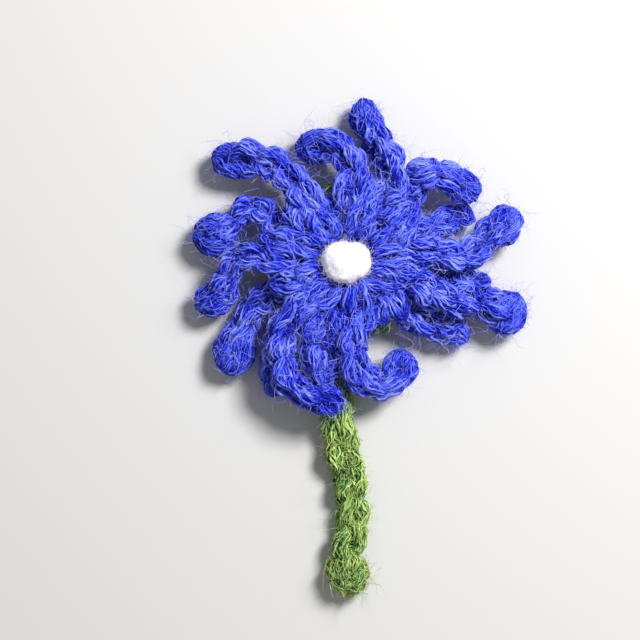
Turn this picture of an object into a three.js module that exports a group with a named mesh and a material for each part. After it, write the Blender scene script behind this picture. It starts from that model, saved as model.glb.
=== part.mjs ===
// A crocheted chicory flower, lying face up.
//
// Millimetres, +Z up. The origin is the centre of the flat underside of the green calyx, on the
// surface that the flower lies on. +Y runs from the stem through the head, and +X is to the right
// when the flower is looked down on with its stem towards the viewer.
//
// The head is a stack: a green crocheted calyx underneath, a blue-violet rosette of radiating
// stitches on it, and a white ball of felted wool on top. Crocheted finger petals stand out all
// round the rosette in two layers and droop to the surface, with their tips curled up into knots.

import * as THREE from 'three';

// ---- driving dimensions ----

const GAP = 0.35;                  // clearance between neighbouring pieces

const CALYX_RADIUS = 12.8;
const CALYX_THICKNESS = 2.9;

const ROSETTE_RADIUS = 10.7;
const ROSETTE_THICKNESS = 5.6;

const FELT_WIDTH = 7.6;            // across the white centre, left to right
const FELT_LENGTH = 6.7;           // and along the stem's direction
const FELT_HEIGHT = 4.4;

const PETAL_ROOT_WIDTH = 3.2;      // where a petal leaves the rosette
const PETAL_WIDTH = 4.4;           // along the stalk of a petal
const PETAL_FLATNESS = 0.75;       // height of a petal over its width

const STEM_WIDTH = 5.2;
const STEM_FLATNESS = 0.86;
const KNOB_WIDTH = 5.9;            // the wrapped end of the stem
const KNOB_LENGTH = 6.2;
const KNOB_HEIGHT = 5.2;
const KNOB_CENTRE = [0.1, -48.2];

const ROUND_SIDES = 28;            // facets round the calyx and the rosette
const SOFT_SIDES = 10;             // facets round a petal or the stem

// ---- materials ----

const violetWool = new THREE.MeshStandardMaterial({ color: 0x4753cd, roughness: 0.95, metalness: 0 });
const greenWool = new THREE.MeshStandardMaterial({ color: 0x73945d, roughness: 0.95, metalness: 0 });
const whiteFelt = new THREE.MeshStandardMaterial({ color: 0xf4f0f7, roughness: 1, metalness: 0 });

// ---- the petals ----
// Each route runs from the rosette's rim to the tip. stalk is the width along the petal and knot
// the width of the curled tip.

const UPPER = 7.4;                 // height of an upper petal's middle at the rim
const LOWER = 4.7;                 // and of a lower petal's

const petals = [
  { route: [[5.7, 9.5, UPPER], [7.2, 11.6, 7.0], [6.3, 14.2, 6.0], [4.0, 18.8, 4.2], [1.9, 25.4, 3.0]],
    stalk: 4.6, knot: 5.0 },
  { route: [[8.2, 7.6, LOWER], [10.0, 9.9, 4.4], [11.0, 12.6, 5.0], [13.6, 13.4, 5.8],
    [16.5, 12.4, 6.0], [20.7, 9.6, 5.6]],
    stalk: PETAL_WIDTH, knot: 6.0 },
  { route: [[10.4, 3.8, LOWER], [13.5, 5.4, 3.4], [17.6, 7.1, 2.4]],
    stalk: 4.0, knot: 4.2 },
  { route: [[11.0, 1.2, UPPER], [13.8, 1.3, 6.8], [17.0, 0.8, 6.0], [20.4, 1.2, 5.2],
    [23.0, 3.6, 4.8], [24.9, 8.6, 4.4]],
    stalk: PETAL_WIDTH, knot: 6.4 },
  { route: [[11.0, -1.6, LOWER], [14.0, -2.2, 3.2], [17.0, -2.9, 2.6], [20.6, -3.1, 2.3]],
    stalk: 4.0, knot: 4.4 },
  { route: [[10.4, -3.9, UPPER], [14.0, -5.3, 6.6], [17.6, -6.3, 5.6], [21.0, -6.4, 4.6],
    [24.2, -7.6, 3.9], [27.6, -10.4, 3.6]],
    stalk: PETAL_WIDTH, knot: 7.2 },
  { route: [[8.4, -7.3, LOWER], [11.0, -9.4, 3.8], [14.6, -10.6, 3.0], [19.1, -11.6, 2.5]],
    stalk: PETAL_WIDTH, knot: 4.6 },
  { route: [[0.6, -11.1, UPPER], [0.9, -14.2, 7.1], [1.8, -17.2, 6.4], [4.2, -18.9, 5.4],
    [7.3, -18.0, 4.6], [9.6, -14.4, 4.2]],
    stalk: PETAL_WIDTH, knot: 5.8 },
  { route: [[-8.2, -7.5, UPPER], [-9.7, -10.4, 7.1], [-10.0, -14.0, 6.9], [-8.6, -17.6, 6.9],
    [-5.6, -20.0, 6.9], [0.6, -21.9, 6.8]],
    stalk: PETAL_WIDTH, knot: 5.2 },
  { route: [[-8.0, -7.7, LOWER], [-10.4, -11.0, 3.4], [-11.4, -14.6, 2.6], [-11.3, -19.2, 2.2]],
    stalk: 3.6, knot: 3.8 },
  { route: [[-10.1, -4.6, LOWER], [-13.0, -6.6, 3.8], [-15.4, -9.4, 3.2], [-17.0, -13.0, 3.0],
    [-17.4, -18.0, 2.9]],
    stalk: 4.0, knot: 6.8 },
  { route: [[-11.1, -0.3, UPPER], [-13.8, 0.4, 6.6], [-16.3, -0.2, 5.6], [-18.2, -2.6, 4.6],
    [-22.9, -7.5, 3.6]],
    stalk: 4.2, knot: 5.8 },
  { route: [[-10.3, 4.2, LOWER], [-12.0, 6.8, 4.6], [-14.3, 8.1, 4.6], [-16.8, 7.2, 4.2],
    [-23.2, 1.9, 3.4]],
    stalk: 4.0, knot: 7.0 },
  { route: [[-6.9, 8.6, UPPER], [-7.9, 11.2, 6.7], [-10.0, 13.6, 5.8], [-13.0, 15.2, 4.8],
    [-16.6, 15.9, 4.0], [-21.3, 14.9, 3.6]],
    stalk: 4.2, knot: 6.0 },
  { route: [[1.2, 11.0, UPPER], [1.2, 13.6, 6.4], [-0.6, 16.2, 5.2], [-3.2, 17.7, 4.4],
    [-8.7, 17.9, 3.8]],
    stalk: PETAL_WIDTH, knot: 6.0 },
  { route: [[-4.3, -10.3, UPPER], [-4.8, -12.6, 7.1], [-4.6, -14.9, 6.8], [-3.9, -17.2, 6.6]],
    stalk: 3.9, knot: 4.1 },
];

// The stem leaves the calyx under the petals and lies along the surface.
const stemRoute = [[-2.0, -13.6], [-1.8, -19.0], [-1.5, -24.7], [-0.4, -29.6], [0.5, -34.0],
  [0.9, -39.0], [0.3, -44.6]];

// ---- geometry ----

/** Stations along a soft finger: a blunt root, an even stalk and a rounded knot. */
function fingerProfile(length, rootRadius, stalkRadius, knotRadius) {
  const rootLength = 0.8;
  const swellLength = 3.0;
  const neckAngle = Math.asin(stalkRadius / knotRadius);
  const knotStart = length - knotRadius - knotRadius * Math.cos(neckAngle);
  const stalkSteps = Math.max(4, Math.round((knotStart - rootLength) / 2));
  const knotSteps = 6;
  const profile = [[0, 0], [rootRadius * 0.75, 0.12], [rootRadius, rootLength]];
  for (let step = 1; step <= stalkSteps; step += 1) {
    const along = rootLength + (knotStart - rootLength) * step / stalkSteps;
    const swell = Math.min(1, (along - rootLength) / swellLength);
    profile.push([rootRadius + (stalkRadius - rootRadius) * swell, along]);
  }
  for (let step = 1; step <= knotSteps; step += 1) {
    const angle = neckAngle + (Math.PI - neckAngle) * step / knotSteps;
    const radius = step === knotSteps ? 0 : knotRadius * Math.sin(angle);
    profile.push([radius, length - knotRadius - knotRadius * Math.cos(angle)]);
  }
  return profile;
}

/** Stations along the stem, blunt at both ends, where it meets the calyx and the knob. */
function stemProfile(length, radius) {
  const edge = 0.7;
  const steps = 14;
  const profile = [[0, 0], [radius * 0.85, 0.1]];
  for (let step = 0; step <= steps; step += 1) {
    profile.push([radius, edge + (length - 2 * edge) * step / steps]);
  }
  profile.push([radius * 0.85, length - 0.1], [0, length]);
  return profile;
}

/** A turned profile, [radius, distance along], laid along a curve and flattened to an oval. */
function bentLathe(curve, profile, flatness) {
  const length = curve.getLength();
  const outline = profile.map(([radius, along]) => new THREE.Vector2(radius, along));
  const geometry = new THREE.LatheGeometry(outline, SOFT_SIDES);
  const position = geometry.getAttribute('position');
  const up = new THREE.Vector3(0, 0, 1);
  for (let index = 0; index < position.count; index += 1) {
    const share = THREE.MathUtils.clamp(position.getY(index) / length, 0, 1);
    const tangent = curve.getTangentAt(share);
    const side = new THREE.Vector3().crossVectors(tangent, up).normalize();
    const lift = new THREE.Vector3().crossVectors(side, tangent);
    const point = curve.getPointAt(share);
    point.addScaledVector(side, position.getX(index));
    point.addScaledVector(lift, position.getZ(index) * flatness);
    position.setXYZ(index, point.x, point.y, point.z);
  }
  return geometry;
}

/** Presses whatever lies below the surface flat onto it. */
function restOnSurface(geometry) {
  const position = geometry.getAttribute('position');
  for (let index = 0; index < position.count; index += 1) {
    position.setZ(index, Math.max(0, position.getZ(index)));
  }
  return geometry;
}

/** A round body turned about Z from [radius, height] pairs that start and end on the axis. */
function turned(pairs, sides) {
  const outline = pairs.map(([radius, height]) => new THREE.Vector2(radius, height));
  return new THREE.LatheGeometry(outline, sides).rotateX(Math.PI / 2);
}

function petalGeometry({ route, stalk, knot }) {
  const curve = new THREE.CatmullRomCurve3(route.map((point) => new THREE.Vector3(...point)));
  const profile = fingerProfile(curve.getLength(), PETAL_ROOT_WIDTH / 2, stalk / 2, knot / 2);
  return bentLathe(curve, profile, PETAL_FLATNESS);
}

function stemGeometry() {
  const middle = STEM_WIDTH * STEM_FLATNESS / 2 - 0.3;
  const curve = new THREE.CatmullRomCurve3(stemRoute.map(([x, y]) => new THREE.Vector3(x, y, middle)));
  const profile = stemProfile(curve.getLength(), STEM_WIDTH / 2);
  return restOnSurface(bentLathe(curve, profile, STEM_FLATNESS));
}

function knobGeometry() {
  const ball = new THREE.SphereGeometry(0.5, 14, 10);
  ball.rotateX(Math.PI / 2);
  ball.scale(KNOB_WIDTH, KNOB_LENGTH, KNOB_HEIGHT);
  ball.translate(KNOB_CENTRE[0], KNOB_CENTRE[1], KNOB_HEIGHT / 2 - 0.25);
  return restOnSurface(ball);
}

/** A flat-bottomed disc with a rounded rim. */
function calyxGeometry() {
  const rim = CALYX_THICKNESS / 2;
  return turned([
    [0, 0],
    [CALYX_RADIUS - rim, 0],
    [CALYX_RADIUS - 0.3, rim * 0.5],
    [CALYX_RADIUS, rim],
    [CALYX_RADIUS - 0.4, rim * 1.6],
    [CALYX_RADIUS - rim, CALYX_THICKNESS],
    [0, CALYX_THICKNESS],
  ], ROUND_SIDES);
}

/** The rosette is low in the middle, where the felt ball sits, and crowned round it. */
function rosetteGeometry() {
  const bottom = CALYX_THICKNESS + GAP;
  const crown = bottom + ROSETTE_THICKNESS;
  const seat = feltBottom() - GAP;
  return turned([
    [0, bottom],
    [ROSETTE_RADIUS - 1.2, bottom],
    [ROSETTE_RADIUS, bottom + 1.2],
    [ROSETTE_RADIUS, crown - 1.9],
    [ROSETTE_RADIUS - 0.9, crown - 0.7],
    [ROSETTE_RADIUS - 2.8, crown],
    [FELT_WIDTH / 2 + 1.2, crown - 0.1],
    [FELT_WIDTH / 2 + GAP, crown - 0.9],
    [FELT_WIDTH / 2 - 1.0, seat],
    [0, seat],
  ], ROUND_SIDES);
}

function feltBottom() {
  return CALYX_THICKNESS + GAP + ROSETTE_THICKNESS - 2.0;
}

function feltGeometry() {
  const ball = new THREE.SphereGeometry(0.5, 16, 10);
  ball.rotateX(Math.PI / 2);
  ball.scale(FELT_WIDTH, FELT_LENGTH, FELT_HEIGHT);
  ball.translate(0, 0, feltBottom() + FELT_HEIGHT / 2);
  return ball;
}

// ---- the assembly ----

function piece(name, geometry, material) {
  const mesh = new THREE.Mesh(geometry, material);
  mesh.name = name;
  return mesh;
}

const head = new THREE.Group();
head.add(piece('calyx', calyxGeometry(), greenWool));
head.add(piece('rosette', rosetteGeometry(), violetWool));
head.add(piece('felt_centre', feltGeometry(), whiteFelt));
petals.forEach((petal, index) => {
  const number = String(index + 1).padStart(2, '0');
  head.add(piece(`petal_${number}`, petalGeometry(petal), violetWool));
});

const stalk = new THREE.Group();
stalk.add(piece('stem', stemGeometry(), greenWool));
stalk.add(piece('stem_end_knob', knobGeometry(), greenWool));

const flower = new THREE.Group();
flower.add(head, stalk);

export default flower;
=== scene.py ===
import math
from collections import namedtuple

import bpy
import numpy as np
from bpy.props import FloatProperty, FloatVectorProperty, IntProperty, PointerProperty
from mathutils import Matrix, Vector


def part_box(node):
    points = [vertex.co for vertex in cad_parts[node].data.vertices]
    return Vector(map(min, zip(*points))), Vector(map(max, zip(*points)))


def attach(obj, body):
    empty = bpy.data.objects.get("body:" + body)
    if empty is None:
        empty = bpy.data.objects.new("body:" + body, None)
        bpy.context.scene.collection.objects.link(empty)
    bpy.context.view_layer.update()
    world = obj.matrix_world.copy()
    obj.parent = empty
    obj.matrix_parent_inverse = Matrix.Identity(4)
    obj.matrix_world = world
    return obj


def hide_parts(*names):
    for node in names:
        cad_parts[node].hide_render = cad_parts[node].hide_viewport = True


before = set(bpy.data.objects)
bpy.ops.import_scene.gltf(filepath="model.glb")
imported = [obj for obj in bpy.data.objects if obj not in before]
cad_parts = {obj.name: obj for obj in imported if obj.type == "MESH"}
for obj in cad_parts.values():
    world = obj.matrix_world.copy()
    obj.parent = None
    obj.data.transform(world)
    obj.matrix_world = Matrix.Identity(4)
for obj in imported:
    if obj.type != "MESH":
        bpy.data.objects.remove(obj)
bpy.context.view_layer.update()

bl_info = {
    "name": "Crocheted Chicory Flower",
    "version": (1, 0, 0),
    "blender": (4, 5, 0),
    "location": "View3D > Sidebar > Flower",
    "description": "Crochets a chicory flower in wool yarn around its packed model",
    "category": "Add Mesh",
}

# ---- the frame ----
# Everything below is worked out in millimetres and turned into metres when a mesh is made.

MM = 0.001
BODY = "root"


def node_box(node):
    """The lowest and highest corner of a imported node, in millimetres."""
    low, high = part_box(node)
    return np.array(low) / MM, np.array(high) / MM


ROSETTE_LOW, ROSETTE_HIGH = node_box("rosette")
CALYX_LOW, CALYX_HIGH = node_box("calyx")
HEAD = np.array([*(ROSETTE_LOW + ROSETTE_HIGH)[:2] / 2, CALYX_LOW[2]])    # on the surface
ROSETTE_RADIUS = (ROSETTE_HIGH - ROSETTE_LOW)[0] / 2
CALYX_RADIUS = (CALYX_HIGH - CALYX_LOW)[0] / 2
SURFACE = CALYX_LOW[2] + 0.06    # no wool lies lower than this

# ---- the petals ----
# A petal's route runs from the rosette's rim to the start of its tip, in millimetres from HEAD.
# width is across its stitches, and turn is how far it twists along its length, in degrees.
# A tip is a knot of yarn, wound as a ball from pole to pole. pole is the direction of its long axis,
# and stretch is how much longer that axis is than its radius.

Tip = namedtuple("Tip", "middle radius pole stretch")
Petal = namedtuple("Petal", "node route width turn tip")

UPPER = 7.6    # height of the roots of the petals that lie on top
LOWER = 4.9    # and of those that lie under them

PETALS = (
    Petal("petal_01", ((5.7, 9.5, UPPER), (7.2, 11.8, 7.1), (6.4, 14.8, 6.0), (4.9, 18.0, 4.6),
                       (4.0, 20.0, 3.8)), 4.9, 80, Tip((3.1, 21.7, 3.2), 2.7, (-0.35, 1.0, 0.0), 1.35)),
    Petal("petal_02", ((8.2, 7.6, LOWER), (9.4, 10.0, 4.6), (10.6, 12.9, 5.6), (13.2, 13.4, 6.3),
                       (15.8, 12.6, 6.3)), 4.8, 60, Tip((17.6, 11.4, 5.4), 2.8, (0.8, -0.5, -0.1), 1.2)),
    Petal("petal_03", ((10.4, 3.8, LOWER), (13.5, 5.4, 3.6), (17.6, 7.1, 2.6)), 4.2, 20, None),
    Petal("petal_04", ((11.0, 1.2, UPPER), (13.8, 1.2, 7.0), (17.0, 0.7, 6.2), (20.0, 1.6, 5.6),
                       (22.0, 4.0, 5.2)), 4.6, 50, Tip((24.0, 5.3, 4.4), 3.0, (0.5, 0.85, 0.1), 1.15)),
    Petal("petal_05", ((11.0, -1.6, LOWER), (14.0, -2.2, 3.4), (17.0, -2.9, 2.8), (20.2, -3.1, 2.4)),
          4.2, 30, None),
    Petal("petal_06", ((10.4, -3.9, UPPER), (14.0, -5.3, 6.8), (17.6, -6.3, 5.8), (20.6, -6.6, 5.0),
                       (22.8, -7.4, 5.0)), 4.6, 40, Tip((24.6, -8.1, 3.6), 3.4, (0.45, 0.85, 0.3), 1.02)),
    Petal("petal_07", ((8.4, -7.3, LOWER), (11.0, -9.3, 4.0), (14.2, -10.4, 3.2), (16.0, -10.9, 2.8)),
          4.4, 40, Tip((16.8, -11.1, 2.7), 2.2, (1.0, -0.2, 0.0), 1.2)),
    Petal("petal_08", ((0.5, -11.1, UPPER), (0.9, -14.2, 7.3), (1.8, -17.3, 6.6), (4.0, -19.1, 5.6),
                       (6.6, -18.8, 5.0)), 4.6, 60, Tip((8.1, -16.7, 4.2), 2.9, (0.1, 1.0, 0.0), 1.15)),
    Petal("petal_09", ((-8.2, -7.5, UPPER), (-9.7, -10.4, 7.3), (-10.1, -14.0, 7.1), (-9.3, -17.4, 7.1),
                       (-7.0, -19.7, 7.2)), 4.6, 30, Tip((-3.9, -20.9, 7.0), 2.6, (0.96, -0.26, 0.0), 1.6)),
    Petal("petal_10", ((-8.0, -7.7, LOWER), (-10.4, -11.0, 3.6), (-11.4, -14.6, 2.8), (-11.3, -18.8, 2.3)),
          3.8, 30, None),
    Petal("petal_11", ((-10.1, -3.9, LOWER), (-13.0, -5.8, 4.2), (-15.2, -8.6, 3.6), (-16.2, -11.0, 3.3)),
          4.3, 20, Tip((-17.3, -14.0, 3.1), 3.3, (-0.25, -1.0, 0.1), 1.18)),
    Petal("petal_12", ((-11.1, -0.3, UPPER), (-13.6, 0.7, 6.8), (-16.0, 0.6, 6.0), (-17.8, -1.2, 5.2),
                       (-18.9, -3.6, 4.6)), 3.8, 50, Tip((-20.4, -5.8, 3.5), 2.9, (0.8, 0.55, 0.2), 1.1)),
    Petal("petal_13", ((-10.3, 4.2, LOWER), (-12.0, 6.8, 4.8), (-14.3, 8.2, 4.8), (-16.8, 7.2, 4.6),
                       (-18.2, 5.4, 4.2)), 3.6, 40, Tip((-20.3, 3.9, 3.4), 3.5, (0.85, 0.0, 0.5), 1.0)),
    Petal("petal_14", ((-6.8, 8.6, UPPER), (-7.6, 11.2, 6.9), (-9.8, 13.7, 6.2), (-12.6, 15.2, 5.6),
                       (-15.6, 15.9, 5.2)), 4.7, 60, Tip((-17.6, 15.4, 3.7), 2.9, (0.9, -0.35, 0.25), 1.18)),
    Petal("petal_15", ((1.2, 11.0, UPPER), (1.0, 13.4, 6.8), (0.0, 15.7, 6.0), (-1.8, 17.4, 5.4)),
          4.6, 40, Tip((-4.7, 17.6, 3.9), 2.8, (0.95, 0.2, 0.25), 1.25)),
    Petal("petal_16", ((-4.0, -10.3, UPPER), (-4.3, -12.6, 7.3), (-3.9, -14.8, 7.0), (-3.2, -16.7, 6.8)),
          6.2, 40, None),
)

STEM_ROUTE = ((-2.0, -13.8), (-1.8, -19.0), (-1.5, -24.7), (-0.4, -29.6), (0.5, -34.0),
              (0.9, -39.0), (0.3, -44.8))

# ---- the yarn ----

THREADS = 12          # bundles of fibres round a strand
STEP = 0.68           # between the knots of a strand's threads
TWIST = 0.38          # radians a millimetre that the threads wind round the strand
CORE = 0.78           # the core's share of a strand's thickness; the core is coloured dark, as painted shade between the threads
THREAD = 0.20         # a thread's share of it
CORE_SIDES = 7
THREAD_SIDES = 3


def unit(vectors):
    """The same directions at length 1."""
    return vectors / np.maximum(np.linalg.norm(vectors, axis=-1, keepdims=True), 1e-9)


def smooth_path(points, spacing):
    """A smooth curve through the points, in even steps. Any fourth column is carried along."""
    points = np.asarray(points, float)
    ends = np.vstack([2 * points[0] - points[1], points, 2 * points[-1] - points[-2]])
    a, b, c, d = ends[:-3, None], ends[1:-2, None], ends[2:-1, None], ends[3:, None]
    t = np.linspace(0, 1, 8, endpoint=False)[None, :, None]
    curve = 0.5 * (2 * b + (c - a) * t + (2 * a - 5 * b + 4 * c - d) * t ** 2
                   + (3 * b - a - 3 * c + d) * t ** 3)
    curve = np.vstack([curve.reshape(-1, points.shape[1]), points[-1:]])
    run = run_along(curve)
    at = np.linspace(0, run[-1], max(4, int(run[-1] / spacing)) + 1)
    return np.stack([np.interp(at, run, column) for column in curve.T], 1)


def run_along(path):
    """The distance from a path's start to each of its points."""
    steps = np.linalg.norm(np.diff(path[..., :3], axis=-2), axis=-1)
    return np.concatenate([np.zeros_like(steps[..., :1]), np.cumsum(steps, axis=-1)], -1)


def with_thickness(points, thickness=1.0):
    """The points with a fourth column: how thick the yarn is there."""
    return np.column_stack([points, np.full(len(points), thickness)])


def carried_frames(path):
    """Tangents, and two directions across each path that never spin about it."""
    tangent = unit(np.gradient(path, axis=-2))
    across = np.empty_like(path)
    across[..., 0, :] = unit(np.cross(tangent[..., 0, :], (0.3, 0.2, 0.9)))
    for knot in range(1, path.shape[-2]):
        onward, before = tangent[..., knot, :], across[..., knot - 1, :]
        across[..., knot, :] = unit(before - onward * np.sum(before * onward, -1, keepdims=True))
    return tangent, across, np.cross(tangent, across)


def wander(along, rng, size, count=1):
    """Slow random swings of about the given size along a strand, a row for each thread."""
    phase = rng.random((3, count, 1))
    period = np.array([3.1, 5.3, 8.9])[:, None, None]
    return np.sin(2 * math.pi * (along / period + phase)).sum(0) * size / 2


def tube_faces(rings, sides):
    """Faces of a closed tube: its wall, and a fan of triangles to the point at each end. Point 0
    is the first end, the rings follow, and the last point is the other end."""
    ring, side = np.meshgrid(np.arange(rings - 1), np.arange(sides), indexing="ij")
    after = (side + 1) % sides
    quads = 1 + np.stack([ring * sides + side, ring * sides + after,
                          (ring + 1) * sides + after, (ring + 1) * sides + side], -1).reshape(-1, 4)
    side = np.arange(sides)
    after = (side + 1) % sides
    last = 1 + (rings - 1) * sides
    tris = np.vstack([np.stack([np.zeros(sides, int), 1 + after, 1 + side], 1),
                      np.stack([np.full(sides, last + sides), last + side, last + after], 1)])
    return quads, tris


class Wool:
    """Gathers strands and loose fibres, and makes one closed-surface mesh of them."""

    def __init__(self, rng):
        self.rng = rng
        self.points, self.grain, self.tone_and_shade = [], [], []
        self.quads, self.tris = [], []
        self.quad_slots, self.tri_slots = [], []
        self.used = 0
        self.strands = []

    def tubes(self, path, thick, sides, tone_and_shade, slot):
        """Adds closed tubes, pointed at both ends, along several paths. thick and tone are given
        at each knot of each path."""
        count, knots = path.shape[:2]
        _, across, over = carried_frames(path)
        angle = 2 * math.pi * np.arange(sides) / sides
        round_it = np.stack([np.cos(angle), np.sin(angle)], 1) * thick[:, 1:-1, None, None]
        wall = (path[:, 1:-1, None] + across[:, 1:-1, None] * round_it[..., :1]
                + over[:, 1:-1, None] * round_it[..., 1:])
        self.points.append(self.ends_and_wall(path, wall))
        along = run_along(path) + self.rng.uniform(0, 500, (count, 1))
        middle = np.stack([along, np.zeros_like(along), np.zeros_like(along)], -1)
        skin = np.concatenate([np.broadcast_to(along[:, 1:-1, None, None], (*wall.shape[:3], 1)),
                               round_it], -1)
        self.grain.append(self.ends_and_wall(middle, skin))
        tone_and_shade = np.broadcast_to(tone_and_shade, (count, knots))[..., None]
        wall_tone = np.repeat(tone_and_shade[:, 1:-1, None], sides, 2)
        self.tone_and_shade.append(self.ends_and_wall(tone_and_shade, wall_tone)[:, 0])
        quads, tris = tube_faces(knots - 2, sides)
        first = self.used + np.arange(count)[:, None, None] * ((knots - 2) * sides + 2)
        self.quads.append((quads + first).reshape(-1, 4))
        self.tris.append((tris + first).reshape(-1, 3))
        self.quad_slots.append(np.full(count * len(quads), slot))
        self.tri_slots.append(np.full(count * len(tris), slot))
        self.used += count * ((knots - 2) * sides + 2)

    def ends_and_wall(self, ends, wall):
        """The values of every tube in turn: its first end, its wall ring by ring, its last end."""
        size = wall.shape[-1]
        values = np.concatenate([ends[:, :1], wall.reshape(len(wall), -1, size), ends[:, -1:]], 1)
        return values.reshape(-1, size)

    def strand(self, points, radius, threads=THREADS, fuzz=1.0):
        """Lays a strand of yarn along the points: threads wound loosely round a core that is coloured dark,
        as painted shade in the gaps between them. With no threads it is a plain strand, for places where it
        is hardly seen."""
        rng = self.rng
        if points.shape[1] == 3:
            points = with_thickness(points)
        path, thickness = np.split(smooth_path(points, STEP), [3], axis=1)
        along = run_along(path)
        taper = np.minimum(1, 0.35 + np.minimum(along, along[-1] - along) / radius)
        fullness = thickness[:, 0]
        thickness = radius * fullness * taper * (1 + wander(along, rng, 0.12)[0])
        path[:, 2] = np.maximum(path[:, 2], SURFACE + thickness * 1.32)
        tangent, across, over = carried_frames(path)
        core = thickness * (CORE if threads else 0.95)
        # A threaded strand's core gets 0.05, the deep end of the colour ramp: painted shade in the gaps
        # between its threads. A plain strand gets 0.35, a little darker than its threads would be.
        self.tubes(path[None], core[None], CORE_SIDES, 0.05 if threads else 0.35, 0)
        if threads:
            share = min(0.3, THREAD * THREADS / threads)
            lane = 2 * math.pi * (np.arange(threads) + rng.uniform(-0.3, 0.3, threads)) / threads
            angle = lane[:, None] + TWIST * along + wander(along, rng, 0.6, threads)
            reach = thickness * (1 - share) * (1 + wander(along, rng, 0.2, threads))
            out = across * np.cos(angle)[..., None] + over * np.sin(angle)[..., None]
            thick = share * thickness * rng.uniform(0.65, 1.25, (threads, 1))
            thick = thick * (1 + wander(along, rng, 0.3, threads))
            tone_and_shade = rng.uniform(0.25, 0.75, (threads, 1)) + wander(along, rng, 0.2, threads)
            # Painted shade and highlight: where a stitch pinches thin its threads are darker, and where it
            # swells they are lighter.
            tone_and_shade = tone_and_shade + 2.0 * (fullness - 1)
            self.tubes(path + out * reach[..., None], thick, THREAD_SIDES, tone_and_shade, 0)
        self.strands.append((path, tangent, across, over, thickness, fuzz))

    def anchors(self, count):
        """Random places on the strands: place, direction along, direction out."""
        weights = np.array([len(strand[0]) * strand[5] for strand in self.strands], float)
        picks = self.rng.choice(len(self.strands), count, p=weights / weights.sum())
        place, along, out = np.empty((count, 3)), np.empty((count, 3)), np.empty((count, 3))
        for index, (path, tangent, across, over, thickness, _) in enumerate(self.strands):
            mine = np.flatnonzero(picks == index)
            ring = self.rng.integers(0, len(path), len(mine))
            angle = self.rng.uniform(0, 2 * math.pi, len(mine))
            way = across[ring] * np.cos(angle)[:, None] + over[ring] * np.sin(angle)[:, None]
            place[mine] = path[ring] + way * (thickness[ring] * 0.92)[:, None]
            along[mine] = tangent[ring] * self.rng.choice((-1, 1), len(mine))[:, None]
            out[mine] = way
        return place, along, out

    def fibres(self, place, heading, length, curl, radius, knots=6, slot=1):
        """Adds fine tapered fibres that start at place, head along heading and curl as they go."""
        count = len(place)
        t = np.linspace(0, 1, knots)[None, :, None]
        size = length[:, None, None]
        bend = unit(np.cross(heading, self.rng.normal(size=(count, 3))))[:, None]
        wave = unit(np.cross(heading, self.rng.normal(size=(count, 3))))[:, None]
        phase = self.rng.uniform(0, 2 * math.pi, (count, 1, 1))
        swing = curl[:, None, None]
        path = (place[:, None] + heading[:, None] * size * t * (1 - 0.35 * swing * t)
                + bend * size * swing * 0.6 * t ** 2
                + wave * size * swing * 0.14 * (np.sin(7 * t + phase) - np.sin(phase)))
        path[..., 2] = np.maximum(path[..., 2], SURFACE)
        thick = radius[:, None] * np.linspace(1, 0.5, knots)
        self.tubes(path, thick, 3, self.rng.random((count, 1)), slot)

    def fuzz(self, lying, standing, curly, flying, thickness):
        """Roughens the strands with fibres that lie along them, stand off them, curl over them and
        fly away."""
        rng = self.rng
        place, along, out = self.anchors(lying)
        aside = unit(np.cross(along, out))
        heading = unit(along + aside * rng.normal(0, 0.8, (lying, 1))
                       + out * rng.uniform(0, 0.3, (lying, 1)))
        self.fibres(place, heading, rng.uniform(0.7, 2.2, lying), rng.uniform(0.2, 1.0, lying),
                    thickness * rng.uniform(0.8, 1.4, lying), knots=4)
        place, along, out = self.anchors(standing)
        heading = unit(along * rng.uniform(0, 1.3, (standing, 1)) + out
                       + rng.normal(0, 0.35, (standing, 3)))
        self.fibres(place, heading, rng.uniform(0.5, 1.9, standing), rng.uniform(0.3, 1.4, standing),
                    thickness * rng.uniform(0.6, 1.1, standing), knots=5)
        place, _, out = self.anchors(curly)
        heading = unit(rng.normal(0, 0.8, (curly, 3)) + out * rng.uniform(0.2, 0.8, (curly, 1)))
        self.fibres(place, heading, rng.uniform(1.6, 4.2, curly), rng.uniform(0.8, 2.2, curly),
                    thickness * rng.uniform(0.75, 1.2, curly), knots=8, slot=2)
        place, along, out = self.anchors(flying)
        heading = unit(along * rng.uniform(0, 1, (flying, 1)) + out * 0.8
                       + rng.normal(0, 0.5, (flying, 3)))
        self.fibres(place, heading, rng.uniform(2.2, 5.5, flying), rng.uniform(0.5, 1.6, flying),
                    thickness * rng.uniform(0.7, 1.0, flying), knots=9)

    def finish(self, name, materials):
        """Makes the mesh object, in metres, with its attributes and its material slots."""
        points = np.vstack(self.points) * MM
        quads, tris = np.vstack(self.quads), np.vstack(self.tris)
        corners = np.concatenate([quads.ravel(), tris.ravel()]).astype(np.int32)
        totals = np.concatenate([np.full(len(quads), 4), np.full(len(tris), 3)]).astype(np.int32)
        starts = np.concatenate([[0], np.cumsum(totals)[:-1]]).astype(np.int32)
        slots = np.concatenate(self.quad_slots + self.tri_slots).astype(np.int32)
        mesh = bpy.data.meshes.new(name)
        mesh.vertices.add(len(points))
        mesh.vertices.foreach_set("co", points.astype(np.float32).ravel())
        mesh.loops.add(len(corners))
        mesh.loops.foreach_set("vertex_index", corners)
        mesh.polygons.add(len(totals))
        mesh.polygons.foreach_set("loop_start", starts)
        mesh.polygons.foreach_set("material_index", slots)
        mesh.polygons.foreach_set("use_smooth", np.ones(len(totals), bool))
        mesh.update(calc_edges=True)
        grain = mesh.attributes.new("grain", "FLOAT_VECTOR", "POINT")
        grain.data.foreach_set("vector", np.vstack(self.grain).astype(np.float32).ravel())
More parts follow.
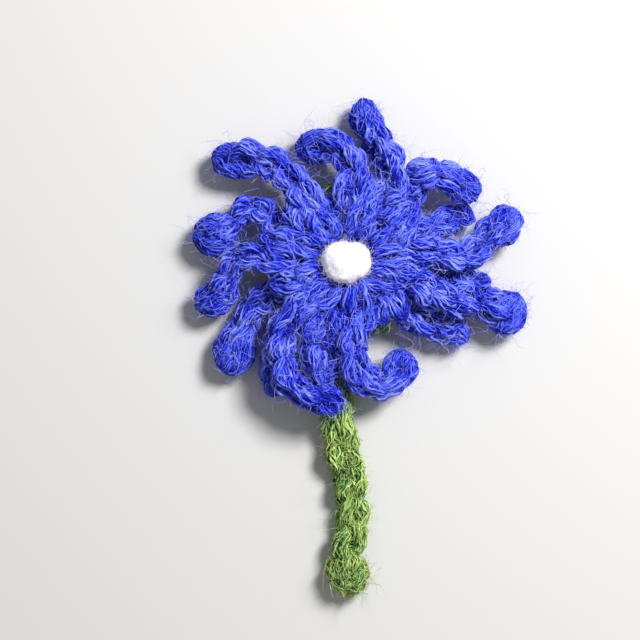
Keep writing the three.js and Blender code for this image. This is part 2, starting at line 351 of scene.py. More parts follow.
        # Per point: a random value for each thread, plus painted shade on strand cores, pinched stitch ends
        # and the hearts of tips, and painted highlights where stitches swell.
        tone_and_shade = mesh.attributes.new("tone_and_shade", "FLOAT", "POINT")
        tone_and_shade.data.foreach_set("value", np.concatenate(self.tone_and_shade).astype(np.float32))
        for material in materials:
            mesh.materials.append(material)
        piece = bpy.data.objects.new(name, mesh)
        bpy.context.scene.collection.objects.link(piece)
        return piece


# ---- stitches ----

class Route:
    """A petal's or the stem's middle line, with a place for each point along, across and above it."""

    def __init__(self, points, turn=0.0, phase=0.0):
        self.path = smooth_path(points, 0.25)
        self.run = run_along(self.path)
        self.length = self.run[-1]
        self.tangent = unit(np.gradient(self.path, axis=0))
        self.side = unit(np.cross(self.tangent, (0.0, 0.0, 1.0)))
        self.lift = np.cross(self.side, self.tangent)
        self.turn, self.phase = math.radians(turn), math.radians(phase)

    def at(self, values, s):
        """Values given along the route, read at the distances s."""
        return np.stack([np.interp(s, self.run, values[:, axis]) for axis in range(3)], 1)

    def place(self, local):
        """Turns (along, across, above) into points in the frame. A fourth column is kept."""
        s, y, z = local.T[:3]
        held = np.clip(s, 0, self.length)
        roll = self.phase + self.turn * held / self.length
        y, z = y * np.cos(roll) - z * np.sin(roll), y * np.sin(roll) + z * np.cos(roll)
        tangent = self.at(self.tangent, held)
        points = (self.at(self.path, held) + tangent * (s - held)[:, None]
                  + self.at(self.side, held) * y[:, None] + self.at(self.lift, held) * z[:, None])
        return np.column_stack([points, local[:, 3:]])


STITCH = (                    # along, across, above, and how thick the yarn is
    (0.00, 0.30, -0.25, 0.66),
    (0.45, 0.80, 0.80, 1.12),
    (0.95, 1.00, 0.50, 1.20),
    (1.42, 0.20, -0.20, 0.72),
    (0.95, -1.00, 0.50, 1.20),
    (0.45, -0.80, 0.80, 1.12),
    (0.00, -0.30, -0.25, 0.66),
    (0.15, -0.15, -0.90, 0.75),
    (0.55, 0.15, -1.05, 0.85),
)
STITCH_LOOSENESS = (0.30, 0.24, 0.20, 0.06)    # how far each of the four strays
TUCK = 1.9                    # length of a petal that is tucked under the rosette


def chain(first, last, pitch, spread, height, rng):
    """One run of chain stitches, as (along, across, above, thickness). Each stitch is a loop whose
    two legs show as a V, drawn up through the loop before it, with a bump of yarn behind."""
    count = max(1, round((last - first) / pitch))
    pitch = (last - first) / (count + 0.4)
    points = np.array([(first + (stitch + along) * pitch, across * spread, above * height, thick)
                       for stitch in range(count) for along, across, above, thick in STITCH])
    return points + rng.normal(0, STITCH_LOOSENESS, points.shape)


KNOT_FLATNESS = 0.84     # a knot's height against its width, from resting on a surface
KNOT_LOOSENESS = 0.12    # how far its yarn strays
LOOP_SPACING = 1.55      # between its loops, in yarn radii
LOOP_SLANT = 12          # degrees that each loop leans


def tip_points(tip, incoming, strand, rng):
    """The knot of yarn at a petal's tip, starting on the side where the petal comes in."""
    middle = HEAD + np.array(tip.middle)
    pole = unit(np.array(tip.pole, float))
    start = incoming - middle
    first = unit(np.cross(np.cross(pole, start + (0.01, 0.02, 0.03)), pole))
    second = np.cross(pole, first)
    reach = tip.radius - strand
    begin = math.atan2(start @ pole, start @ first)
    wound = ball(first, second, pole, reach, strand, begin)
    wound = wound + pole * (wound @ pole)[:, None] * (tip.stretch - 1)
    wound = wound + rng.normal(0, KNOT_LOOSENESS, wound.shape)
    wound[:, 2] *= KNOT_FLATNESS
    return with_thickness(middle + wound)


def heart(wool, tip, strand):
    """A soft lump inside a tip, which keeps its loops from showing daylight. It is given the darkest colour,
    as painted shade inside the knot.
    """
    middle = HEAD + np.array(tip.middle)
    way = unit(np.array(tip.pole, float))
    reach = tip.radius - strand * 1.1
    share = np.linspace(-1, 1, 9)[:, None]
    path = middle + way * share * reach * tip.stretch
    thick = reach * np.sqrt(np.maximum(0, 1 - share[:, 0] ** 2)) * 0.96
    # 0.0 is the deep end of the colour ramp: painted shade inside the knot.
    wool.tubes(path[None], thick[None], 12, 0.0, 0)


def ball(first, second, pole, reach, strand, begin):
    """Great loops that run from pole to pole, each turned on from the last, as a ball is wound."""
    slant = math.radians(LOOP_SLANT)
    loops = math.pi * reach / (LOOP_SPACING * strand)
    turned = np.linspace(0, 2 * math.pi * loops, int(loops * 12))[:, None]
    onward = turned / (2 * loops)
    out = first * np.cos(onward) + second * np.sin(onward)
    beside = second * np.cos(onward) - first * np.sin(onward)
    leaning = pole * math.cos(slant) + beside * math.sin(slant)
    return reach * (out * np.cos(begin + turned) + leaning * np.sin(begin + turned))


def petal_wool(petal, strand, pitch, rng):
    """The two back-to-back chains of a petal round a core, and the knot at its tip."""
    wool = Wool(rng)
    route = [HEAD + np.array(point) for point in petal.route]
    route.insert(0, route[0] + unit(route[0] - route[1]) * TUCK)
    if petal.tip:
        route.append(HEAD + np.array(petal.tip.middle) + (0, 0, petal.tip.radius * 0.38))
    line = Route(route, petal.turn, rng.uniform(-20, 20))
    spread, height, lift = petal.width / 2 - strand, 0.62, (0, 0, 0.45, 0)
    front = chain(0, line.length, pitch, spread, height, rng) + lift
    back = chain(pitch / 2, line.length, pitch, spread, height, rng) * (1, -1, -1, 1) - lift
    front, back = line.place(front), line.place(back)
    if petal.tip:
        heart(wool, petal.tip, strand)
        wool.strand(tip_points(petal.tip, line.path[-1], strand, rng), strand)
    else:
        turn_back = np.array([[0.7, 1.0, 0.3, 1.1], [1.3, 0.2, 0.1, 1.0], [0.9, -0.9, -0.1, 1.1],
                              [-0.6, -0.5, -0.5, 0.9]])
        turn_back = turn_back * (1, spread, 1, 1) + (line.length, 0, 0, 0)
        front = np.vstack([front, line.place(turn_back)])
    wool.strand(front, strand)
    wool.strand(back, strand, threads=THREADS - 3)
    steps = np.arange(0.5, line.length, 2.0)
    core = np.column_stack([steps, rng.normal(0, 0.35, (len(steps), 2)), np.full(len(steps), 1.25)])
    wool.strand(line.place(core), strand, threads=THREADS - 5, fuzz=0.5)
    return wool


# ---- materials ----

def ramp_node(nodes, stops):
    """A colour ramp with a stop for each (position, colour)."""
    ramp = nodes.new("ShaderNodeValToRGB")
    elements = ramp.color_ramp.elements
    while len(elements) > 1:
        elements.remove(elements[-1])
    elements[0].position, elements[0].color = stops[0][0], (*stops[0][1], 1)
    for position, colour in stops[1:]:
        elements.new(position).color = (*colour, 1)
    return ramp


def attribute_node(nodes, name):
    node = nodes.new("ShaderNodeAttribute")
    node.attribute_name = name
    return node


def grain_noise(nodes, links, scale, detail):
    """Noise drawn out along a thread's fibres. scale is per millimetre along and across them."""
    grain = attribute_node(nodes, "grain")
    stretch = nodes.new("ShaderNodeMapping")
    stretch.inputs["Scale"].default_value = (scale[0], scale[1], scale[1])
    noise = nodes.new("ShaderNodeTexNoise")
    noise.inputs["Scale"].default_value = 1.0
    noise.inputs["Detail"].default_value = detail
    links.new(grain.outputs["Vector"], stretch.inputs["Vector"])
    links.new(stretch.outputs["Vector"], noise.inputs["Vector"])
    return noise


def math_node(nodes, links, operation, *values):
    node = nodes.new("ShaderNodeMath")
    node.operation = operation
    for socket, value in zip(node.inputs, values):
        if isinstance(value, (int, float)):
            socket.default_value = value
        else:
            links.new(value, socket)
    return node.outputs[0]


def wool_material(name, stops, sheen, shares):
    """Matte wool with a soft sheen. Its colour changes from thread to thread, along the fibres and in slow
    patches, and shares says how much each of these counts. The thread-to-thread part also carries painted
    shade (dark cores, darker pinched stitch ends, dark hearts in the tips) and painted highlights where
    stitches swell."""
    material = bpy.data.materials.new(name)
    material.use_nodes = True
    nodes, links = material.node_tree.nodes, material.node_tree.links
    shader = nodes["Principled BSDF"]
    shader.inputs["Roughness"].default_value = 0.9
    shader.inputs["Specular IOR Level"].default_value = 0.08
    shader.inputs["Sheen Weight"].default_value = sheen[0]
    shader.inputs["Sheen Roughness"].default_value = 0.45
    shader.inputs["Sheen Tint"].default_value = (*sheen[1], 1)
    fibres = grain_noise(nodes, links, (1.1, 7.5), 3.0).outputs["Fac"]
    place = nodes.new("ShaderNodeTexCoord")
    patches = nodes.new("ShaderNodeTexNoise")
    patches.inputs["Scale"].default_value = 260.0
    patches.inputs["Detail"].default_value = 1.0
    links.new(place.outputs["Object"], patches.inputs["Vector"])
    tone_and_shade = attribute_node(nodes, "tone_and_shade").outputs["Fac"]
    total = 0.5
    for value, share in zip((tone_and_shade, fibres, patches.outputs["Fac"]), shares):
        part = math_node(nodes, links, "MULTIPLY_ADD", value, share, -0.5 * share)
        total = math_node(nodes, links, "ADD", part, total)
    ramp = ramp_node(nodes, stops)
    links.new(total, ramp.inputs["Fac"])
    links.new(ramp.outputs["Color"], shader.inputs["Base Color"])
    relief = nodes.new("ShaderNodeBump")
    relief.inputs["Strength"].default_value = 1.0
    relief.inputs["Distance"].default_value = 0.00030
    links.new(fibres, relief.inputs["Height"])
    links.new(relief.outputs["Normal"], shader.inputs["Normal"])
    return material


def fibre_material(name, stops, sheen):
    """A single fibre: one shade along it, which differs from fibre to fibre."""
    material = bpy.data.materials.new(name)
    material.use_nodes = True
    nodes, links = material.node_tree.nodes, material.node_tree.links
    shader = nodes["Principled BSDF"]
    shader.inputs["Roughness"].default_value = 0.7
    shader.inputs["Specular IOR Level"].default_value = 0.3
    shader.inputs["Sheen Weight"].default_value = sheen[0]
    shader.inputs["Sheen Tint"].default_value = (*sheen[1], 1)
    tone_and_shade = attribute_node(nodes, "tone_and_shade")
    ramp = ramp_node(nodes, stops)
    links.new(tone_and_shade.outputs["Fac"], ramp.inputs["Fac"])
    links.new(ramp.outputs["Color"], shader.inputs["Base Color"])
    return material


def petal_materials():
    look = bpy.context.scene.flower_petals
    deep, body, light = tuple(look.deep_colour), tuple(look.body_colour), tuple(look.light_colour)
    loose = tuple(look.fibre_colour)
    # The deep stop is painted shade in the hollows of the yarn.
    yarn = wool_material("violet_yarn", ((0.37, deep), (0.48, body), (0.60, light), (0.77, loose)),
                         (0.12, light), (0.27, 1.0, 0.42))
    fibre = fibre_material("violet_fibre", ((0.0, body), (0.5, light), (1.0, loose)), (0.2, light))
    hair = fibre_material("violet_hair", ((0.0, light), (0.4, loose), (1.0, tuple(look.hair_colour))),
                          (0.2, light))
    return yarn, fibre, hair


def stem_materials():
    look = bpy.context.scene.flower_stem
    deep, body, light = tuple(look.deep_colour), tuple(look.body_colour), tuple(look.light_colour)
    teal, ochre, pale = tuple(look.teal_colour), tuple(look.ochre_colour), tuple(look.pale_colour)
    # The deep stop is painted shade in the hollows of the yarn.
    yarn = wool_material("green_yarn", ((0.33, deep), (0.40, teal), (0.45, body), (0.49, ochre),
                                        (0.53, body), (0.60, light), (0.70, pale)),
                         (0.12, light), (0.24, 1.5, 0.35))
    fibre = fibre_material("green_fibre", ((0.0, teal), (0.2, body), (0.45, light), (0.6, ochre),
                                           (0.8, light), (1.0, pale)), (0.2, light))
    hair = fibre_material("green_hair", ((0.0, light), (0.35, ochre), (0.7, pale)), (0.2, light))
    return yarn, fibre, hair


def one_material(name, make):
    """Materials that several pieces share are made once."""
    if name not in SHARED:
        SHARED[name] = make()
    return SHARED[name]


SHARED = {}


def settle(piece, node):
    """Attaches a finished piece to the body, so that it moves with it, and hides the node that it stands
    for.
    """
    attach(piece, BODY)
    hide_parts(node)


# ---- settings ----

def length_property(name, description, default):
    return FloatProperty(name=name, description=description, default=default, min=0.0,
                         precision=6, unit="LENGTH", subtype="DISTANCE")


def colour_property(name, description, default):
    return FloatVectorProperty(name=name, description=description, default=default, size=3,
                               min=0.0, max=1.0, subtype="COLOR")


class FlowerPetalSettings(bpy.types.PropertyGroup):
    strand: length_property("Yarn radius", "Half the width of the petals' yarn", 0.00084)
    pitch: length_property("Stitch length", "Length of one chain stitch of a petal", 0.0043)
    fibre: length_property("Fibre radius", "Half the width of a loose fibre", 0.000034)
    lying: IntProperty(name="Lying fibres", description="Fibres along each petal's yarn",
                       default=240, min=0)
    standing: IntProperty(name="Standing fibres", description="Fibres off each petal's yarn",
                          default=420, min=0)
    curly: IntProperty(name="Curly hairs", description="Pale hairs over each petal", default=200, min=0)
    flying: IntProperty(name="Flyaway fibres", description="Long loose fibres on each petal",
                        default=24, min=0)
    # Deep colour is painted shade: it colours the dark cores, the hearts of the tips and the pinched places
    # between the threads, and the darkest streaks along the fibres.
    deep_colour: colour_property("Deep colour", "Wool between the fibres", (0.004, 0.007, 0.30))
    body_colour: colour_property("Body colour", "Most of the wool", (0.058, 0.083, 0.98))
    light_colour: colour_property("Light colour", "Fibres that catch the light", (0.145, 0.20, 1.0))
    fibre_colour: colour_property("Loose fibre colour", "Loose fibres in the light", (0.33, 0.39, 1.0))
    hair_colour: colour_property("Hair colour", "The palest curly hairs", (0.62, 0.64, 0.95))


class FlowerStemSettings(bpy.types.PropertyGroup):
    strand: length_property("Yarn radius", "Half the width of the stem's yarn", 0.00105)
    pitch: length_property("Stitch length", "Length of one chain stitch of the stem", 0.0048)
    fibre: length_property("Fibre radius", "Half the width of a loose fibre", 0.000036)
    # Deep colour is painted shade: it colours the dark cores, the heart of the stem end and the pinched
    # places between the threads, and the darkest streaks along the fibres.
    deep_colour: colour_property("Deep colour", "Wool between the fibres", (0.010, 0.030, 0.004))
    body_colour: colour_property("Body colour", "Most of the wool", (0.16, 0.36, 0.09))
    light_colour: colour_property("Light colour", "Yellow-green fibres", (0.38, 0.68, 0.16))
    pale_colour: colour_property("Pale colour", "The palest fibres", (0.74, 0.90, 0.31))
    teal_colour: colour_property("Teal colour", "Blue-green fibres", (0.05, 0.24, 0.15))
    ochre_colour: colour_property("Ochre colour", "Golden fibres", (0.52, 0.40, 0.09))


class FlowerCentreSettings(bpy.types.PropertyGroup):
    colour: colour_property("Colour", "Felted wool", (0.93, 0.91, 0.95))
    # Shade is painted lilac shade, laid in soft noise patches over the felt and on some of its loose fibres.
    shade: colour_property("Shade", "Felted wool in its hollows", (0.74, 0.70, 0.86))
    fibres: IntProperty(name="Fibres", description="Loose fibres on the felt", default=800, min=0)


class FlowerStageSettings(bpy.types.PropertyGroup):
    floor_colour: colour_property("Floor colour", "Plain pale floor", (0.62, 0.61, 0.60))
    camera_height: length_property("Camera height", "Camera above the surface", 0.26)
    view_width: length_property("View width", "Width of the view at the surface", 0.100)
    key_power: FloatProperty(name="Key light", description="Power of the main light", default=2.75,
                             min=0.0, unit="POWER")
    fill: FloatProperty(name="Fill light", description="Strength of the light from all round",
                        default=0.32, min=0.0)


# ---- operators ----

class FLOWER_OT_petals(bpy.types.Operator):
    """Crochets the finger petals, each in two chains with a knot wound at its tip"""
    bl_idname = "flower.petals"
    bl_label = "Petals"

    def execute(self, context):
        look = context.scene.flower_petals
        strand, pitch, fibre = look.strand / MM, look.pitch / MM, look.fibre / MM
        for index, petal in enumerate(PETALS):
            wool = petal_wool(petal, strand, pitch, np.random.default_rng(100 + index))
            wool.fuzz(look.lying, look.standing, look.curly, look.flying, fibre)
            piece = wool.finish(petal.node + "_crochet", one_material("petals", petal_materials))
            settle(piece, petal.node)
        return {"FINISHED"}


OPEN_GAP = (280, 312)    # degrees, between the petals where the calyx shows
OPEN_REACH = 0.93        # how far stitches reach out there
FILL_REACH = 1.18        # and in the other gaps between petals
FILL_STEP = 21           # degrees between the stitches that fill a gap
CLOSEST = 9              # degrees between the stitches of neighbouring petals, at least


def spokes():
    """The rosette's outer stitches, as (direction, reach): one for each petal, and more in the wide
    gaps between petals, which reach out further to fill them."""
    roots = [petal.route[0] for petal in PETALS]
    angles = sorted(math.atan2(root[1], root[0]) % (2 * math.pi) for root in roots)
    kept = []
    for here, after in zip(angles, angles[1:] + [angles[0] + 2 * math.pi]):
        if kept and here - kept[-1][0] < math.radians(CLOSEST):
            continue
        kept.append((here, 1.0))
        extra = int((after - here) / math.radians(FILL_STEP))
        for step in range(extra):
            angle = here + (after - here) * (step + 1) / (extra + 1)
            is_open = OPEN_GAP[0] < math.degrees(angle) < OPEN_GAP[1]
            kept.append((angle, OPEN_REACH if is_open else FILL_REACH))
    return kept


SPOKE_SIDES = (0.35, 0.95, 1.0, 0.0)        # a V stitch's half width, from its inner to its outer end
SPOKE_THICKNESS = (0.8, 1.15, 1.1, 0.8)


def spoke_round(spokes_wanted, profile, spread, rng):
    """A round of V stitches. profile gives (radius, height) from the inner to the outer end."""
    points = []
    for angle, reach in spokes_wanted:
        angle += rng.normal(0, 0.05)
        swirl = rng.normal(0.06, 0.12)
        inner = profile[0][0]
        stretch = 1 + (reach - 1) * 2
        out = [(inner + (radius - inner) * stretch, height, side, thick)
               for (radius, height), side, thick in zip(profile, SPOKE_SIDES, SPOKE_THICKNESS)]
        back = [(radius, height, -side, thick) for radius, height, side, thick in out[2::-1]]
        dip = [(inner + 0.6, profile[0][1] - 1.9, 0.0, 0.8)]
        for radius, height, side, thick in out + back + dip:
            turn = angle + swirl * (radius - inner) / 5
            along = np.array([math.cos(turn), math.sin(turn)])
            flat = along * radius + np.array([-along[1], along[0]]) * side * spread
            shift = rng.normal(0, 0.22, 3)
            points.append((*(HEAD + (*flat, height) + shift), thick))
    return np.array(points)


class FLOWER_OT_rosette(bpy.types.Operator):
    """Crochets the rosette: two rounds of radiating stitches over a wound bed and rim"""
    bl_idname = "flower.rosette"
    bl_label = "Rosette"

    def execute(self, context):
        look = context.scene.flower_petals
        strand, fibre = look.strand / MM, look.fibre / MM
        rng = np.random.default_rng(40)
        wool = Wool(rng)
        crown = ROSETTE_HIGH[2]
        inner = ((3.7, crown - 1.5), (5.4, crown - 0.55), (7.4, crown - 0.45), (8.6, crown - 0.9))
        outer = ((7.2, crown - 1.9), (8.9, crown - 0.75), (10.6, crown - 1.1), (12.0, crown - 1.8))
        first = [(2 * math.pi * step / 9, 1.0) for step in range(9)]
        wool.strand(spoke_round(spokes(), outer, 1.05, rng), strand * 1.05)
        wool.strand(spoke_round(first, inner, 1.15, rng), strand * 1.1)
        rim_turns, bed_turns, bed_reach = 2.6, 4.2, (2.2, 9.2)
        share = np.linspace(0, 1, 120)
        around = share * 2 * math.pi * rim_turns
        radius = ROSETTE_RADIUS - strand - 0.1 + 0.3 * np.sin(around * 13)
        height = ROSETTE_LOW[2] + strand + share * (crown - ROSETTE_LOW[2] - 3.4 * strand)
        rim = np.stack([radius * np.cos(around), radius * np.sin(around), height - HEAD[2]], 1)
        wool.strand(HEAD + rim, strand, threads=0, fuzz=0.5)
        spiral = np.linspace(0, 1, 90) * 2 * math.pi * bed_turns
        reach = np.linspace(*bed_reach, 90)
        bed = np.stack([reach * np.cos(spiral), reach * np.sin(spiral), np.full(90, crown - 2.4)], 1)
        wool.strand(HEAD + bed, strand * 1.15, threads=0, fuzz=0.4)
        wool.fuzz(lying=900, standing=900, curly=760, flying=60, thickness=fibre)
        self.mat_middle(wool, rng, crown, fibre)
        piece = wool.finish("rosette_crochet", one_material("petals", petal_materials))
        settle(piece, "rosette")
        return {"FINISHED"}

    def mat_middle(self, wool, rng, crown, fibre):
        """Fibres that mat the stitches together round the felt centre."""
        count = 480
        radius, angle = rng.uniform(3.4, 8.0, count), rng.uniform(0, 2 * math.pi, count)
        place = HEAD + np.stack([radius * np.cos(angle), radius * np.sin(angle),
                                 crown - 0.1 + rng.normal(0, 0.25, count)], 1)
        way = angle + rng.normal(0, 1.0, count)
        heading = unit(np.stack([np.cos(way), np.sin(way), rng.normal(0, 0.15, count)], 1))
        wool.fibres(place, heading, rng.uniform(0.8, 2.8, count), rng.uniform(0.3, 1.2, count),
                    fibre * rng.uniform(0.6, 1.0, count))


def calyx_wool(strand, rng):
    """Rounds of chain stitch, the way a small disc is crocheted, from the middle outwards."""
    wool = Wool(rng)
    rounds = 4
    pitch = 3.3
    spread = 0.8
    first, last = 1.9, CALYX_RADIUS - 2.3
    middle = (CALYX_LOW[2] + CALYX_HIGH[2]) / 2 - HEAD[2]
    angles = np.linspace(0, 2 * math.pi, 24, endpoint=True)
    for ring in range(rounds):
        radius = first + ring * (last - first) / (rounds - 1)
        line = Route(HEAD + np.stack([radius * np.cos(angles), radius * np.sin(angles),
                                      np.full(24, middle)], 1))
        for face in (1, -1):
            run = chain(0, line.length, pitch, spread, 0.45, rng) * (1, face, face, 1)
            run = run + (0, 0, 0.3 * face, 0)
            wool.strand(line.place(run), strand, threads=0 if face == 1 else 5)
    return wool


class FLOWER_OT_calyx(bpy.types.Operator):
    """Crochets the green backing under the head"""
    bl_idname = "flower.calyx"
    bl_label = "Calyx"

    def execute(self, context):
        look = context.scene.flower_stem
        rng = np.random.default_rng(60)
        wool = calyx_wool(0.86, rng)
        wool.fuzz(lying=300, standing=300, curly=60, flying=12, thickness=look.fibre / MM)
        piece = wool.finish("calyx_crochet", one_material("stem", stem_materials))
        settle(piece, "calyx")
        return {"FINISHED"}


class FLOWER_OT_stem(bpy.types.Operator):
    """Crochets the stem in two chains, back to back"""
    bl_idname = "flower.stem"
    bl_label = "Stem"

    def execute(self, context):
        look = context.scene.flower_stem
        strand, pitch = look.strand / MM, look.pitch / MM
        rng = np.random.default_rng(70)
        wool = Wool(rng)
        low, high = node_box("stem")
        middle = (low[2] + high[2]) / 2 - HEAD[2]
        line = Route([HEAD + (x, y, middle) for x, y in STEM_ROUTE], turn=25, phase=-10)
        spread = 1.3
        front = chain(0, line.length + 1.0, pitch, spread, 0.8, rng) + (0, 0, 0.45, 0)
        back = chain(pitch / 2, line.length, pitch, spread, 0.7, rng) * (1, -1, -1, 1) - (0, 0, 0.4, 0)
        wool.strand(line.place(front), strand, threads=17)
        wool.strand(line.place(back), strand)
        wool.fuzz(lying=1000, standing=800, curly=380, flying=70, thickness=look.fibre / MM)
        piece = wool.finish("stem_crochet", one_material("stem", stem_materials))
        settle(piece, "stem")
        return {"FINISHED"}


class FLOWER_OT_knob(bpy.types.Operator):
    """Winds the rounded end of the stem, with the loose tuft at its very end"""
    bl_idname = "flower.knob"
    bl_label = "Stem end"

    def execute(self, context):
        look = context.scene.flower_stem
        strand = look.strand / MM
        finer, looseness, loose_ends = strand * 0.8, 0.28, 10
        rng = np.random.default_rng(80)
        wool = Wool(rng)
        low, high = node_box("stem_end_knob")
        middle = (low + high) / 2
        radius = (high - low)[0] / 2 + 0.35
        knot = Tip(tuple(middle - HEAD), radius, (0.1, -0.45, 0.8), 1.0)
        heart(wool, knot, strand)
        wound = tip_points(knot, middle + (0, 3, 0), finer, rng)
        wound[:, :3] += rng.normal(0, looseness, (len(wound), 3))
        wool.strand(wound, finer, threads=14)
        wool.fuzz(lying=300, standing=260, curly=220, flying=30, thickness=look.fibre / MM)
        end = np.array([middle[0], low[1] + 0.6, middle[2] * 0.7])
        tuft = end + rng.normal(0, 0.5, (loose_ends, 3))
        heading = unit(rng.normal(0, (0.35, 0.2, 0.1), (loose_ends, 3)) + (0, -1, 0))
        wool.fibres(tuft, heading, rng.uniform(1.8, 3.6, loose_ends),
                    rng.uniform(0.3, 0.9, loose_ends), np.full(loose_ends, look.fibre / MM * 2),
                    knots=8, slot=2)
        piece = wool.finish("stem_end_knob_crochet", one_material("stem", stem_materials))
        settle(piece, "stem_end_knob")
        return {"FINISHED"}


def felt_material():
    """White needle felt: matte, with painted lilac shade in soft noise patches and a fine fibrous relief."""
    look = bpy.context.scene.flower_centre
    material = bpy.data.materials.new("white_felt")
    material.use_nodes = True
    nodes, links = material.node_tree.nodes, material.node_tree.links
    shader = nodes["Principled BSDF"]
    shader.inputs["Roughness"].default_value = 0.95
    shader.inputs["Specular IOR Level"].default_value = 0.15
    shader.inputs["Sheen Weight"].default_value = 0.3
    place = nodes.new("ShaderNodeTexCoord")
    # Noise patches that mix in the painted lilac shade.
    shade = nodes.new("ShaderNodeTexNoise")
    shade.inputs["Scale"].default_value = 420.0
    shade.inputs["Detail"].default_value = 2.0
    links.new(place.outputs["Object"], shade.inputs["Vector"])
    ramp = ramp_node(nodes, ((0.30, tuple(look.shade)), (0.48, tuple(look.colour))))
    links.new(shade.outputs["Fac"], ramp.inputs["Fac"])
    links.new(ramp.outputs["Color"], shader.inputs["Base Color"])
    fine = nodes.new("ShaderNodeTexNoise")
    fine.inputs["Scale"].default_value = 2600.0
    fine.inputs["Detail"].default_value = 3.0
    fine.inputs["Distortion"].default_value = 1.2
    links.new(place.outputs["Object"], fine.inputs["Vector"])
    relief = nodes.new("ShaderNodeBump")
    relief.inputs["Strength"].default_value = 0.7
    relief.inputs["Distance"].default_value = 0.00012
    links.new(fine.outputs["Fac"], relief.inputs["Height"])
    links.new(relief.outputs["Normal"], shader.inputs["Normal"])
    return material


def felt_fibre_material():
    look = bpy.context.scene.flower_centre
    # Fibres with a low value take the painted lilac shade.
    return fibre_material("white_fibre", ((0.0, tuple(look.shade)), (0.3, tuple(look.colour))),
                          (0.3, tuple(look.colour)))


class FLOWER_OT_felt_centre(bpy.types.Operator):
    """Shapes the felted ball in the middle and roughens it with fibres"""
    bl_idname = "flower.felt_centre"
    bl_label = "Felt centre"

    def execute(self, context):
        low, high = node_box("felt_centre")
        middle, half = (low + high) / 2 + (-0.1, -0.3, 0), (high - low) / 2 * (0.96, 0.97, 1.0)
        bpy.ops.object.select_all(action="DESELECT")
        bpy.ops.mesh.primitive_ico_sphere_add(subdivisions=5, radius=1.0, location=tuple(middle * MM),
                                              scale=tuple(half * MM))
        ball = context.object
        ball.name = "felt_centre_ball"
        bpy.ops.object.transform_apply(location=True, rotation=True, scale=True)
        lumps = bpy.data.textures.new("felt_lumps", "CLOUDS")
        lumps.noise_scale = 0.0028
        lumps.noise_depth = 2
        dents = ball.modifiers.new("lumps", "DISPLACE")
        dents.texture = lumps
        dents.texture_coords = "LOCAL"
        dents.mid_level = 0.5
        dents.strength = 0.0011
        bpy.ops.object.modifier_apply(modifier=dents.name)
        bpy.ops.object.shade_smooth()
        ball.data.materials.append(one_material("felt", felt_material))
        settle(ball, "felt_centre")
        self.fringe(context, ball)
        return {"FINISHED"}

    def fringe(self, context, ball):
        """Loose white fibres over the ball, denser round its foot."""
        rng = np.random.default_rng(90)
        count = context.scene.flower_centre.fibres
        places = np.empty(len(ball.data.vertices) * 3)
        normals = np.empty(len(ball.data.vertices) * 3)
        ball.data.vertices.foreach_get("co", places)
        ball.data.vertices.foreach_get("normal", normals)
        places, normals = places.reshape(-1, 3) / MM, normals.reshape(-1, 3)
        picks = rng.integers(0, len(places), count)
        place, out = places[picks], normals[picks]
        aside = unit(np.cross(out, rng.normal(size=(count, 3))))
        heading = unit(aside + out * rng.uniform(0.05, 0.7, (count, 1)))
        wool = Wool(rng)
        wool.fibres(place - out * 0.05, heading, rng.uniform(0.5, 1.9, count), rng.uniform(0.3, 1.3, count),
                    0.022 * rng.uniform(0.7, 1.1, count), slot=0)
        fringe = wool.finish("felt_centre_fibres", [one_material("felt_fibre", felt_fibre_material)])
        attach(fringe, BODY)


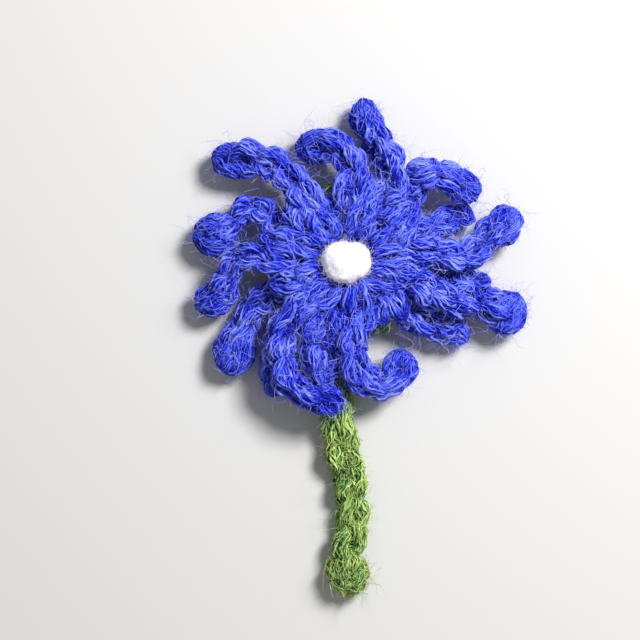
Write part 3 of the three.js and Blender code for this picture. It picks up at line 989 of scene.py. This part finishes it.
class FLOWER_OT_stage(bpy.types.Operator):
    """Lays the pale floor and sets the lights and the camera that looks straight down"""
    bl_idname = "flower.stage"
    bl_label = "Stage"

    def execute(self, context):
        look = context.scene.flower_stage
        bpy.ops.object.select_all(action="DESELECT")
        bpy.ops.mesh.primitive_plane_add(size=1.6, location=(0, 0, CALYX_LOW[2] * MM - 0.00002))
        floor = context.object
        floor.name = "floor"
        bpy.ops.object.transform_apply(location=True, rotation=True, scale=True)
        paper = bpy.data.materials.new("pale_floor")
        paper.use_nodes = True
        shader = paper.node_tree.nodes["Principled BSDF"]
        shader.inputs["Base Color"].default_value = (*look.floor_colour, 1)
        shader.inputs["Roughness"].default_value = 0.9
        floor.data.materials.append(paper)
        self.lights(look)
        self.camera(context, look)
        return {"FINISHED"}

    def lights(self, look):
        """One soft key from the upper right, and even light from all round."""
        bpy.ops.object.light_add(type="AREA", location=(0.20, 0.17, 0.34))
        key = bpy.context.object
        key.name = "key_light"
        key.data.shape = "DISK"
        key.data.size = 0.13
        key.data.energy = look.key_power
        aim = (-key.location).to_track_quat("-Z", "Y")
        key.rotation_euler = aim.to_euler()
        world = bpy.data.worlds.new("soft_room")
        world.use_nodes = True
        background = world.node_tree.nodes["Background"]
        background.inputs["Color"].default_value = (0.95, 0.97, 1.0, 1)
        background.inputs["Strength"].default_value = look.fill
        bpy.context.scene.world = world
        bpy.context.scene.view_settings.view_transform = "Standard"

    def camera(self, context, look):
        """The head sits right of and above the middle of the view."""
        framing_x, framing_y = -4.1, -9.1
        bpy.ops.object.camera_add(location=((HEAD[0] + framing_x) * MM, (HEAD[1] + framing_y) * MM,
                                            look.camera_height), rotation=(0, 0, 0))
        camera = context.object
        camera.name = "camera"
        camera.data.sensor_width = 36
        camera.data.lens = 36 * look.camera_height / look.view_width
        camera.data.clip_start = 0.01
        context.scene.camera = camera


# ---- the panel ----

class FLOWER_PT_panel(bpy.types.Panel):
    bl_label = "Crocheted Flower"
    bl_idname = "FLOWER_PT_panel"
    bl_space_type = "VIEW_3D"
    bl_region_type = "UI"
    bl_category = "Flower"

    def draw(self, context):
        for operator in STEPS:
            self.layout.operator(operator.bl_idname)
        for group in SETTINGS:
            settings = getattr(context.scene, group)
            box = self.layout.box()
            for name in settings.bl_rna.properties.keys():
                if name not in ("rna_type", "name"):
                    box.prop(settings, name)


STEPS = (FLOWER_OT_stage, FLOWER_OT_calyx, FLOWER_OT_stem, FLOWER_OT_knob, FLOWER_OT_rosette,
         FLOWER_OT_petals, FLOWER_OT_felt_centre)
SETTINGS = {
    "flower_petals": FlowerPetalSettings,
    "flower_stem": FlowerStemSettings,
    "flower_centre": FlowerCentreSettings,
    "flower_stage": FlowerStageSettings,
}


def register():
    for group, settings in SETTINGS.items():
        bpy.utils.register_class(settings)
        setattr(bpy.types.Scene, group, PointerProperty(type=settings))
    for step in STEPS:
        bpy.utils.register_class(step)
    bpy.utils.register_class(FLOWER_PT_panel)


def unregister():
    bpy.utils.unregister_class(FLOWER_PT_panel)
    for step in reversed(STEPS):
        bpy.utils.unregister_class(step)
    for group, settings in SETTINGS.items():
        delattr(bpy.types.Scene, group)
        bpy.utils.unregister_class(settings)


def main():
    register()
    bpy.ops.flower.stage()
    bpy.ops.flower.calyx()
    bpy.ops.flower.stem()
    bpy.ops.flower.knob()
    bpy.ops.flower.rosette()
    bpy.ops.flower.petals()
    bpy.ops.flower.felt_centre()


if __name__ == "__main__":
    main()
